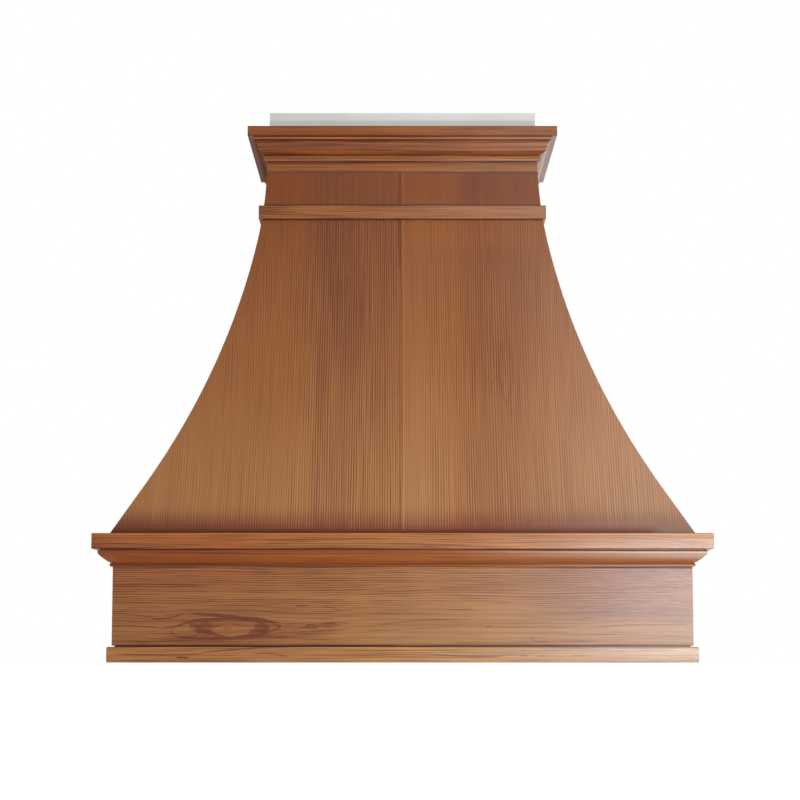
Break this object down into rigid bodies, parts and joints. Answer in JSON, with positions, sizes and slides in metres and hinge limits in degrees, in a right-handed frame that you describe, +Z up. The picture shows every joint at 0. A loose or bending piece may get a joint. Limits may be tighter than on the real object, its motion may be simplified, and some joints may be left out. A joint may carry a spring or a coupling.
{
  "type": "range hood cover",
  "caption": "Flared wooden cover for a kitchen extractor hood: curved veneered shell, crown and shelf mouldings, apron, duct box and wall rails.",
  "frame": {"origin": "on the surface it stands on, at the middle of its outer width and depth", "axes": "+Z up, +Y towards the wall it hangs on, +X to the right as seen from the front"},
  "size_m": [0.975, 0.5892, 0.941],
  "materials": {
    "stained_wood": "satin lacquered, stained solid wood",
    "stained_veneer": "satin lacquered, stained straight-grained veneer",
    "grey_primer": "flat grey primer on plywood",
    "frame_plywood": "bare birch plywood and softwood"
  },
  "bodies": {
    "root": {"base_strip_front": "stained_wood", "base_strip_left": "stained_wood", "base_strip_right": "stained_wood", "apron_front": "stained_wood", "apron_left": "stained_wood", "apron_right": "stained_wood", "shelf_moulding_front": "stained_wood", "shelf_moulding_left": "stained_wood", "shelf_moulding_right": "stained_wood", "shelf_front": "stained_wood", "shelf_left": "stained_wood", "shelf_right": "stained_wood", "ledger_front": "frame_plywood", "ledger_left": "frame_plywood", "ledger_right": "frame_plywood", "ledger_back": "frame_plywood", "liner_panel": "frame_plywood", "corner_block_left": "frame_plywood", "corner_block_right": "frame_plywood", "lower_wall_rail": "frame_plywood", "deck_rail_front": "frame_plywood", "deck_rail_left": "frame_plywood", "deck_rail_right": "frame_plywood", "deck_rail_back": "frame_plywood", "rib_front_centre": "frame_plywood", "rib_front_left": "frame_plywood", "rib_front_right": "frame_plywood", "rib_side_left": "frame_plywood", "rib_side_right": "frame_plywood", "rib_rear_left": "frame_plywood", "rib_rear_right": "frame_plywood", "hip_post_left": "frame_plywood", "hip_post_right": "frame_plywood", "wall_cleat": "frame_plywood", "front_panel_left": "stained_veneer", "front_panel_right": "stained_veneer", "side_panel_left": "stained_veneer", "side_panel_right": "stained_veneer", "neck_front_left": "stained_veneer", "neck_front_right": "stained_veneer", "neck_side_left": "stained_veneer", "neck_side_right": "stained_veneer", "band_front": "stained_wood", "band_left": "stained_wood", "band_right": "stained_wood", "frieze_front": "stained_wood", "frieze_left": "stained_wood", "frieze_right": "stained_wood", "crown_front": "stained_wood", "crown_left": "stained_wood", "crown_right": "stained_wood", "collar_front": "grey_primer", "collar_left": "grey_primer", "collar_right": "grey_primer", "collar_back": "grey_primer"}
  },
  "joints": []
}
